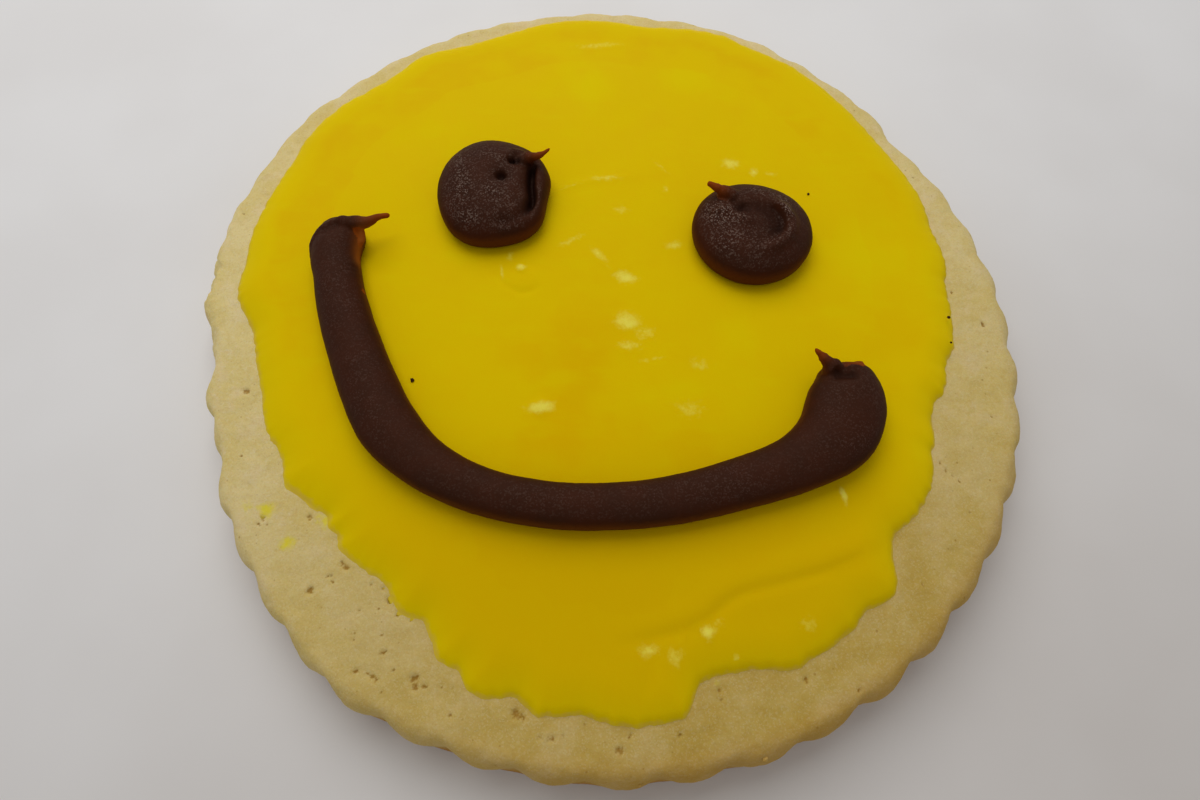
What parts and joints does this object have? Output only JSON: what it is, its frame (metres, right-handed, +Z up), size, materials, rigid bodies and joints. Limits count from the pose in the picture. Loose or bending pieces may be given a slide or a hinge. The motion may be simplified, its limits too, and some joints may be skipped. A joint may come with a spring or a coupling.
{
  "type": "iced sugar cookie",
  "caption": "Round fluted sugar cookie with a skin of yellow icing and a smiling face piped in chocolate icing, lying flat.",
  "frame": {"origin": "middle of the flat base, on the surface that the cookie lies on", "axes": "+Z up through the iced top, -Y towards the side below the smile, +X towards the smile's short arm"},
  "size_m": [0.0905, 0.0956, 0.0145],
  "materials": {
    "baked_dough": "pale baked sugar cookie dough, matt and finely porous, a little browner in its pits and low on its side",
    "yellow_icing": "smooth bright yellow icing, satin, with a few pale unmixed flecks",
    "chocolate_icing": "dark chocolate icing, satin and very finely grainy, redder where it is thin"
  },
  "bodies": {
    "root": {"biscuit": "baked_dough", "yellow_icing": "yellow_icing", "left_eye": "chocolate_icing", "right_eye": "chocolate_icing", "smile": "chocolate_icing"}
  },
  "joints": []
}
